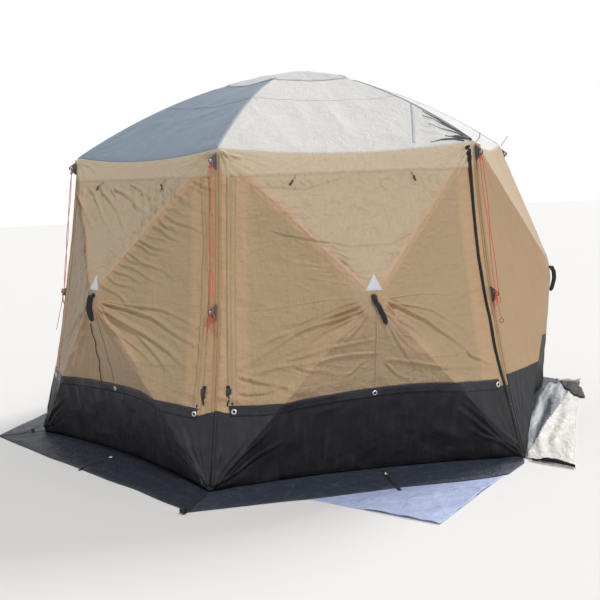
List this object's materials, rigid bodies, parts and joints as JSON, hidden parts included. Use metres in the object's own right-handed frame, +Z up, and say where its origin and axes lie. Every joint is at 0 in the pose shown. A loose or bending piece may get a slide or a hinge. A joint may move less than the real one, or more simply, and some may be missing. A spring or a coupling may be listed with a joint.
{
  "type": "gazebo tent",
  "caption": "Hexagonal pop-up gazebo tent with tan walls, dark skirt and mud flaps, arched silver roof, folding hub-and-pole frame, corner guy ropes and a ground sheet.",
  "frame": {"origin": "on the ground under the roof hub, at the middle of the tent's hexagon, on the underside of the ground sheet", "axes": "+Z up, front wall facing -Y, +X to the right of the front wall as seen from outside"},
  "size_m": [4.1118, 4.071, 2.255],
  "materials": {
    "wall_cloth": "woven polyester",
    "roof_cloth": "coated polyester",
    "sheet_film": "creased woven film",
    "moulded_joint": "moulded nylon",
    "moulded_hub": "moulded nylon",
    "fibreglass_rod": "fibreglass",
    "guy_cord": "braided cord"
  },
  "bodies": {
    "shell": {"eave_joint_1": "moulded_joint", "eave_joint_2": "moulded_joint", "eave_joint_3": "moulded_joint", "eave_joint_4": "moulded_joint", "eave_joint_5": "moulded_joint", "eave_joint_6": "moulded_joint", "foot_joint_1": "moulded_joint", "foot_joint_2": "moulded_joint", "foot_joint_3": "moulded_joint", "foot_joint_4": "moulded_joint", "foot_joint_5": "moulded_joint", "foot_joint_6": "moulded_joint", "wall_panel_1": "wall_cloth", "wall_panel_2": "wall_cloth", "wall_panel_3": "wall_cloth", "wall_panel_4": "wall_cloth", "wall_panel_5": "wall_cloth", "wall_panel_6": "wall_cloth", "roof_canopy": "roof_cloth", "groundsheet": "sheet_film", "guy_rope_1": "guy_cord", "guy_rope_2": "guy_cord", "guy_rope_6": "guy_cord"},
    "wall_hub_1": {"wall_hub_1": "moulded_hub"},
    "upper_left_pole_1": {"upper_left_pole_1": "fibreglass_rod"},
    "upper_right_pole_1": {"upper_right_pole_1": "fibreglass_rod"},
    "lower_left_pole_1": {"lower_left_pole_1": "fibreglass_rod"},
    "lower_right_pole_1": {"lower_right_pole_1": "fibreglass_rod"},
    "wall_hub_2": {"wall_hub_2": "moulded_hub"},
    "upper_left_pole_2": {"upper_left_pole_2": "fibreglass_rod"},
    "upper_right_pole_2": {"upper_right_pole_2": "fibreglass_rod"},
    "lower_left_pole_2": {"lower_left_pole_2": "fibreglass_rod"},
    "lower_right_pole_2": {"lower_right_pole_2": "fibreglass_rod"},
    "wall_hub_3": {"wall_hub_3": "moulded_hub"},
    "upper_left_pole_3": {"upper_left_pole_3": "fibreglass_rod"},
    "upper_right_pole_3": {"upper_right_pole_3": "fibreglass_rod"},
    "lower_left_pole_3": {"lower_left_pole_3": "fibreglass_rod"},
    "lower_right_pole_3": {"lower_right_pole_3": "fibreglass_rod"},
    "wall_hub_4": {"wall_hub_4": "moulded_hub"},
    "upper_left_pole_4": {"upper_left_pole_4": "fibreglass_rod"},
    "upper_right_pole_4": {"upper_right_pole_4": "fibreglass_rod"},
    "lower_left_pole_4": {"lower_left_pole_4": "fibreglass_rod"},
    "lower_right_pole_4": {"lower_right_pole_4": "fibreglass_rod"},
    "wall_hub_5": {"wall_hub_5": "moulded_hub"},
    "upper_left_pole_5": {"upper_left_pole_5": "fibreglass_rod"},
    "upper_right_pole_5": {"upper_right_pole_5": "fibreglass_rod"},
    "lower_left_pole_5": {"lower_left_pole_5": "fibreglass_rod"},
    "lower_right_pole_5": {"lower_right_pole_5": "fibreglass_rod"},
    "wall_hub_6": {"wall_hub_6": "moulded_hub"},
    "upper_left_pole_6": {"upper_left_pole_6": "fibreglass_rod"},
    "upper_right_pole_6": {"upper_right_pole_6": "fibreglass_rod"},
    "lower_left_pole_6": {"lower_left_pole_6": "fibreglass_rod"},
    "lower_right_pole_6": {"lower_right_pole_6": "fibreglass_rod"},
    "roof_hub": {"roof_hub": "moulded_hub"},
    "roof_pole_1": {"roof_pole_1": "fibreglass_rod"},
    "roof_pole_2": {"roof_pole_2": "fibreglass_rod"},
    "roof_pole_3": {"roof_pole_3": "fibreglass_rod"},
    "roof_pole_4": {"roof_pole_4": "fibreglass_rod"},
    "roof_pole_5": {"roof_pole_5": "fibreglass_rod"},
    "roof_pole_6": {"roof_pole_6": "fibreglass_rod"}
  },
  "joints": [
    {"name": "wall_hub_1_pop", "type": "slide", "parent": "shell", "child": "wall_hub_1", "axis": [0, 0.9877, -0.1561], "range_m": [0, 0.4824], "deforming": ["wall_panel_1"]},
    {"name": "upper_left_pole_1_swing", "type": "hinge", "parent": "shell", "child": "upper_left_pole_1", "pos_m": [-0.68201, -1.22678, 1.68936], "axis": [0.7492, 0.1034, 0.6542], "range_deg": [0, 27.5]},
    {"name": "upper_right_pole_1_swing", "type": "hinge", "parent": "shell", "child": "upper_right_pole_1", "pos_m": [0.68201, -1.22678, 1.68936], "axis": [0.7492, -0.1034, -0.6542], "range_deg": [0, 27.5]},
    {"name": "lower_left_pole_1_swing", "type": "hinge", "parent": "shell", "child": "lower_left_pole_1", "pos_m": [-0.83412, -1.48371, 0.06373], "axis": [-0.7236, 0.1078, 0.6818], "range_deg": [0, 23.41]},
    {"name": "lower_right_pole_1_swing", "type": "hinge", "parent": "shell", "child": "lower_right_pole_1", "pos_m": [0.83412, -1.48371, 0.06373], "axis": [-0.7236, -0.1078, -0.6818], "range_deg": [0, 23.41]},
    {"name": "wall_hub_2_pop", "type": "slide", "parent": "shell", "child": "wall_hub_2", "axis": [-0.8554, 0.4939, -0.1561], "range_m": [0, 0.4824], "deforming": ["wall_panel_2"]},
    {"name": "upper_left_pole_2_swing", "type": "hinge", "parent": "shell", "child": "upper_left_pole_2", "pos_m": [0.72142, -1.20403, 1.68936], "axis": [0.2851, 0.7005, 0.6542], "range_deg": [0, 27.5]},
    {"name": "upper_right_pole_2_swing", "type": "hinge", "parent": "shell", "child": "upper_right_pole_2", "pos_m": [1.40343, -0.02276, 1.68936], "axis": [0.4641, 0.5971, -0.6542], "range_deg": [0, 27.5]},
    {"name": "lower_left_pole_2_swing", "type": "hinge", "parent": "shell", "child": "lower_left_pole_2", "pos_m": [0.86787, -1.46422, 0.06373], "axis": [-0.4551, -0.5727, 0.6818], "range_deg": [0, 23.41]},
    {"name": "lower_right_pole_2_swing", "type": "hinge", "parent": "shell", "child": "lower_right_pole_2", "pos_m": [1.70199, -0.01949, 0.06373], "axis": [-0.2685, -0.6805, -0.6818], "range_deg": [0, 23.41]},
    {"name": "wall_hub_3_pop", "type": "slide", "parent": "shell", "child": "wall_hub_3", "axis": [-0.8554, -0.4939, -0.1561], "range_m": [0, 0.4824], "deforming": ["wall_panel_3"]},
    {"name": "upper_left_pole_3_swing", "type": "hinge", "parent": "shell", "child": "upper_left_pole_3", "pos_m": [1.40343, 0.02276, 1.68936], "axis": [-0.4641, 0.5971, 0.6542], "range_deg": [0, 27.5]},
    {"name": "upper_right_pole_3_swing", "type": "hinge", "parent": "shell", "child": "upper_right_pole_3", "pos_m": [0.72142, 1.20403, 1.68936], "axis": [-0.2851, 0.7005, -0.6542], "range_deg": [0, 27.5]},
    {"name": "lower_left_pole_3_swing", "type": "hinge", "parent": "shell", "child": "lower_left_pole_3", "pos_m": [1.70199, 0.01949, 0.06373], "axis": [0.2685, -0.6805, 0.6818], "range_deg": [0, 23.41]},
    {"name": "lower_right_pole_3_swing", "type": "hinge", "parent": "shell", "child": "lower_right_pole_3", "pos_m": [0.86787, 1.46422, 0.06373], "axis": [0.4551, -0.5727, -0.6818], "range_deg": [0, 23.41]},
    {"name": "wall_hub_4_pop", "type": "slide", "parent": "shell", "child": "wall_hub_4", "axis": [0, -0.9877, -0.1561], "range_m": [0, 0.4824], "deforming": ["wall_panel_4"]},
    {"name": "upper_left_pole_4_swing", "type": "hinge", "parent": "shell", "child": "upper_left_pole_4", "pos_m": [0.68201, 1.22678, 1.68936], "axis": [-0.7492, -0.1034, 0.6542], "range_deg": [0, 27.5]},
    {"name": "upper_right_pole_4_swing", "type": "hinge", "parent": "shell", "child": "upper_right_pole_4", "pos_m": [-0.68201, 1.22678, 1.68936], "axis": [-0.7492, 0.1034, -0.6542], "range_deg": [0, 27.5]},
    {"name": "lower_left_pole_4_swing", "type": "hinge", "parent": "shell", "child": "lower_left_pole_4", "pos_m": [0.83412, 1.48371, 0.06373], "axis": [0.7236, -0.1078, 0.6818], "range_deg": [0, 23.41]},
    {"name": "lower_right_pole_4_swing", "type": "hinge", "parent": "shell", "child": "lower_right_pole_4", "pos_m": [-0.83412, 1.48371, 0.06373], "axis": [0.7236, 0.1078, -0.6818], "range_deg": [0, 23.41]},
    {"name": "wall_hub_5_pop", "type": "slide", "parent": "shell", "child": "wall_hub_5", "axis": [0.8554, -0.4939, -0.1561], "range_m": [0, 0.4824], "deforming": ["wall_panel_5"]},
    {"name": "upper_left_pole_5_swing", "type": "hinge", "parent": "shell", "child": "upper_left_pole_5", "pos_m": [-0.72142, 1.20403, 1.68936], "axis": [-0.2851, -0.7005, 0.6542], "range_deg": [0, 27.5]},
    {"name": "upper_right_pole_5_swing", "type": "hinge", "parent": "shell", "child": "upper_right_pole_5", "pos_m": [-1.40343, 0.02276, 1.68936], "axis": [-0.4641, -0.5971, -0.6542], "range_deg": [0, 27.5]},
    {"name": "lower_left_pole_5_swing", "type": "hinge", "parent": "shell", "child": "lower_left_pole_5", "pos_m": [-0.86787, 1.46422, 0.06373], "axis": [0.4551, 0.5727, 0.6818], "range_deg": [0, 23.41]},
    {"name": "lower_right_pole_5_swing", "type": "hinge", "parent": "shell", "child": "lower_right_pole_5", "pos_m": [-1.70199, 0.01949, 0.06373], "axis": [0.2685, 0.6805, -0.6818], "range_deg": [0, 23.41]},
    {"name": "wall_hub_6_pop", "type": "slide", "parent": "shell", "child": "wall_hub_6", "axis": [0.8554, 0.4939, -0.1561], "range_m": [0, 0.4824], "deforming": ["wall_panel_6"]},
    {"name": "upper_left_pole_6_swing", "type": "hinge", "parent": "shell", "child": "upper_left_pole_6", "pos_m": [-1.40343, -0.02276, 1.68936], "axis": [0.4641, -0.5971, 0.6542], "range_deg": [0, 27.5]},
    {"name": "upper_right_pole_6_swing", "type": "hinge", "parent": "shell", "child": "upper_right_pole_6", "pos_m": [-0.72142, -1.20403, 1.68936], "axis": [0.2851, -0.7005, -0.6542], "range_deg": [0, 27.5]},
    {"name": "lower_left_pole_6_swing", "type": "hinge", "parent": "shell", "child": "lower_left_pole_6", "pos_m": [-1.70199, -0.01949, 0.06373], "axis": [-0.2685, 0.6805, 0.6818], "range_deg": [0, 23.41]},
    {"name": "lower_right_pole_6_swing", "type": "hinge", "parent": "shell", "child": "lower_right_pole_6", "pos_m": [-0.86787, -1.46422, 0.06373], "axis": [-0.4551, 0.5727, -0.6818], "range_deg": [0, 23.41]},
    {"name": "roof_hub_pop", "type": "slide", "parent": "shell", "child": "roof_hub", "axis": [0, 0, -1], "range_m": [0, 0.9894], "deforming": ["roof_canopy"]},
    {"name": "roof_pole_1_swing", "type": "hinge", "parent": "roof_hub", "child": "roof_pole_1", "pos_m": [-0.023, -0.03984, 2.2387], "axis": [-0.866, 0.5, 0], "range_deg": [0, 40.42]},
    {"name": "roof_pole_2_swing", "type": "hinge", "parent": "roof_hub", "child": "roof_pole_2", "pos_m": [0.023, -0.03984, 2.2387], "axis": [-0.866, -0.5, 0], "range_deg": [0, 40.42]},
    {"name": "roof_pole_3_swing", "type": "hinge", "parent": "roof_hub", "child": "roof_pole_3", "pos_m": [0.046, 0, 2.2387], "axis": [0, -1, 0], "range_deg": [0, 40.42]},
    {"name": "roof_pole_4_swing", "type": "hinge", "parent": "roof_hub", "child": "roof_pole_4", "pos_m": [0.023, 0.03984, 2.2387], "axis": [0.866, -0.5, 0], "range_deg": [0, 40.42]},
    {"name": "roof_pole_5_swing", "type": "hinge", "parent": "roof_hub", "child": "roof_pole_5", "pos_m": [-0.023, 0.03984, 2.2387], "axis": [0.866, 0.5, 0], "range_deg": [0, 40.42]},
    {"name": "roof_pole_6_swing", "type": "hinge", "parent": "roof_hub", "child": "roof_pole_6", "pos_m": [-0.046, 0, 2.2387], "axis": [0, 1, 0], "range_deg": [0, 40.42]}
  ],
  "couplings": [
    {"joint": "upper_left_pole_1_swing", "follows": "wall_hub_1_pop", "rad_per_m": 0.99495},
    {"joint": "upper_right_pole_1_swing", "follows": "wall_hub_1_pop", "rad_per_m": 0.99495},
    {"joint": "lower_left_pole_1_swing", "follows": "wall_hub_1_pop", "rad_per_m": 0.84684},
    {"joint": "lower_right_pole_1_swing", "follows": "wall_hub_1_pop", "rad_per_m": 0.84684},
    {"joint": "upper_left_pole_2_swing", "follows": "wall_hub_2_pop", "rad_per_m": 0.99495},
    {"joint": "upper_right_pole_2_swing", "follows": "wall_hub_2_pop", "rad_per_m": 0.99495},
    {"joint": "lower_left_pole_2_swing", "follows": "wall_hub_2_pop", "rad_per_m": 0.84684},
    {"joint": "lower_right_pole_2_swing", "follows": "wall_hub_2_pop", "rad_per_m": 0.84684},
    {"joint": "upper_left_pole_3_swing", "follows": "wall_hub_3_pop", "rad_per_m": 0.99495},
    {"joint": "upper_right_pole_3_swing", "follows": "wall_hub_3_pop", "rad_per_m": 0.99495},
    {"joint": "lower_left_pole_3_swing", "follows": "wall_hub_3_pop", "rad_per_m": 0.84684},
    {"joint": "lower_right_pole_3_swing", "follows": "wall_hub_3_pop", "rad_per_m": 0.84684},
    {"joint": "upper_left_pole_4_swing", "follows": "wall_hub_4_pop", "rad_per_m": 0.99495},
    {"joint": "upper_right_pole_4_swing", "follows": "wall_hub_4_pop", "rad_per_m": 0.99495},
    {"joint": "lower_left_pole_4_swing", "follows": "wall_hub_4_pop", "rad_per_m": 0.84684},
    {"joint": "lower_right_pole_4_swing", "follows": "wall_hub_4_pop", "rad_per_m": 0.84684},
    {"joint": "upper_left_pole_5_swing", "follows": "wall_hub_5_pop", "rad_per_m": 0.99495},
    {"joint": "upper_right_pole_5_swing", "follows": "wall_hub_5_pop", "rad_per_m": 0.99495},
    {"joint": "lower_left_pole_5_swing", "follows": "wall_hub_5_pop", "rad_per_m": 0.84684},
    {"joint": "lower_right_pole_5_swing", "follows": "wall_hub_5_pop", "rad_per_m": 0.84684},
    {"joint": "upper_left_pole_6_swing", "follows": "wall_hub_6_pop", "rad_per_m": 0.99495},
    {"joint": "upper_right_pole_6_swing", "follows": "wall_hub_6_pop", "rad_per_m": 0.99495},
    {"joint": "lower_left_pole_6_swing", "follows": "wall_hub_6_pop", "rad_per_m": 0.84684},
    {"joint": "lower_right_pole_6_swing", "follows": "wall_hub_6_pop", "rad_per_m": 0.84684},
    {"joint": "roof_pole_1_swing", "follows": "roof_hub_pop", "rad_per_m": 0.71308},
    {"joint": "roof_pole_2_swing", "follows": "roof_hub_pop", "rad_per_m": 0.71308},
    {"joint": "roof_pole_3_swing", "follows": "roof_hub_pop", "rad_per_m": 0.71308},
    {"joint": "roof_pole_4_swing", "follows": "roof_hub_pop", "rad_per_m": 0.71308},
    {"joint": "roof_pole_5_swing", "follows": "roof_hub_pop", "rad_per_m": 0.71308},
    {"joint": "roof_pole_6_swing", "follows": "roof_hub_pop", "rad_per_m": 0.71308}
  ]
}
